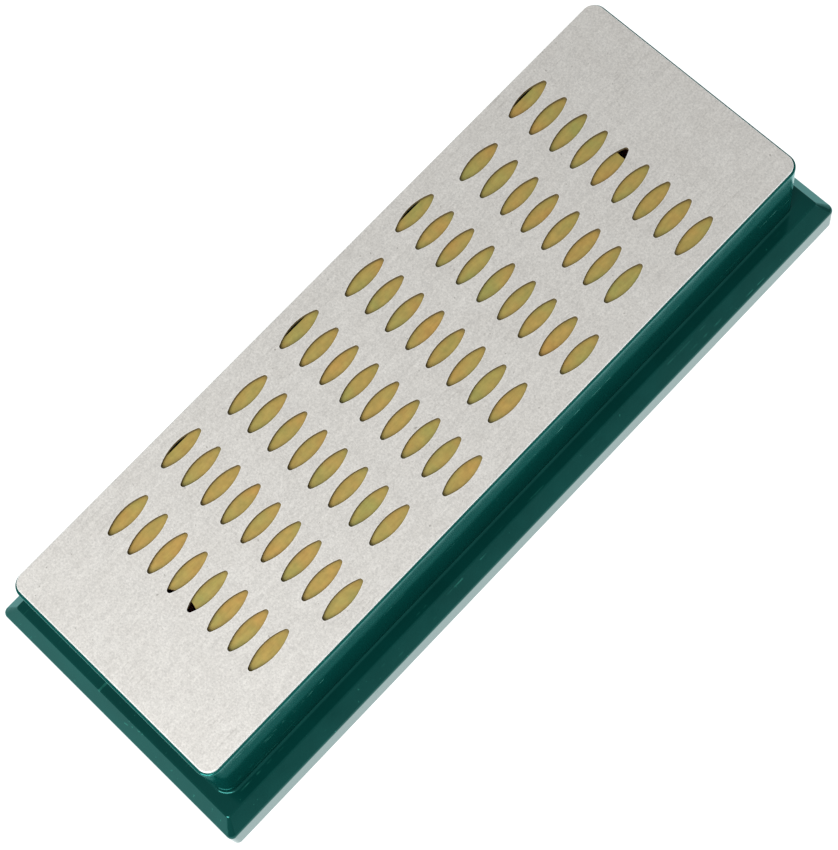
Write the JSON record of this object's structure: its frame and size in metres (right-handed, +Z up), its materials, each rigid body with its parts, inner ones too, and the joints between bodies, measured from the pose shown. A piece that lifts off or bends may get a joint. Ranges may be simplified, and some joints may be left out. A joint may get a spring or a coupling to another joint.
{
  "type": "sharpening whetstone",
  "caption": "Diamond bench whetstone: a flat perforated abrasive plate with lens-shaped relief holes, bonded over an amber backing on a stepped plastic base with bevelled flange and rubber feet",
  "frame": {"origin": "centre of the resting plane, under the middle of the object", "axes": "X across the width, Y along the length, Z up out of the honing face"},
  "size_m": [0.0622, 0.1638, 0.0296],
  "materials": {
    "green_plastic": "smooth moulded, semi-gloss",
    "amber_resin": "slightly uneven, matt",
    "diamond_plate": "nickel with bonded diamond grit, matt",
    "foot_rubber": "matt"
  },
  "bodies": {
    "root": {"base_moulding": "green_plastic", "backing_core": "amber_resin", "abrasive_plate": "diamond_plate", "rubber_foot_front_left": "foot_rubber", "rubber_foot_front_right": "foot_rubber", "rubber_foot_back_left": "foot_rubber", "rubber_foot_back_right": "foot_rubber"}
  },
  "joints": []
}
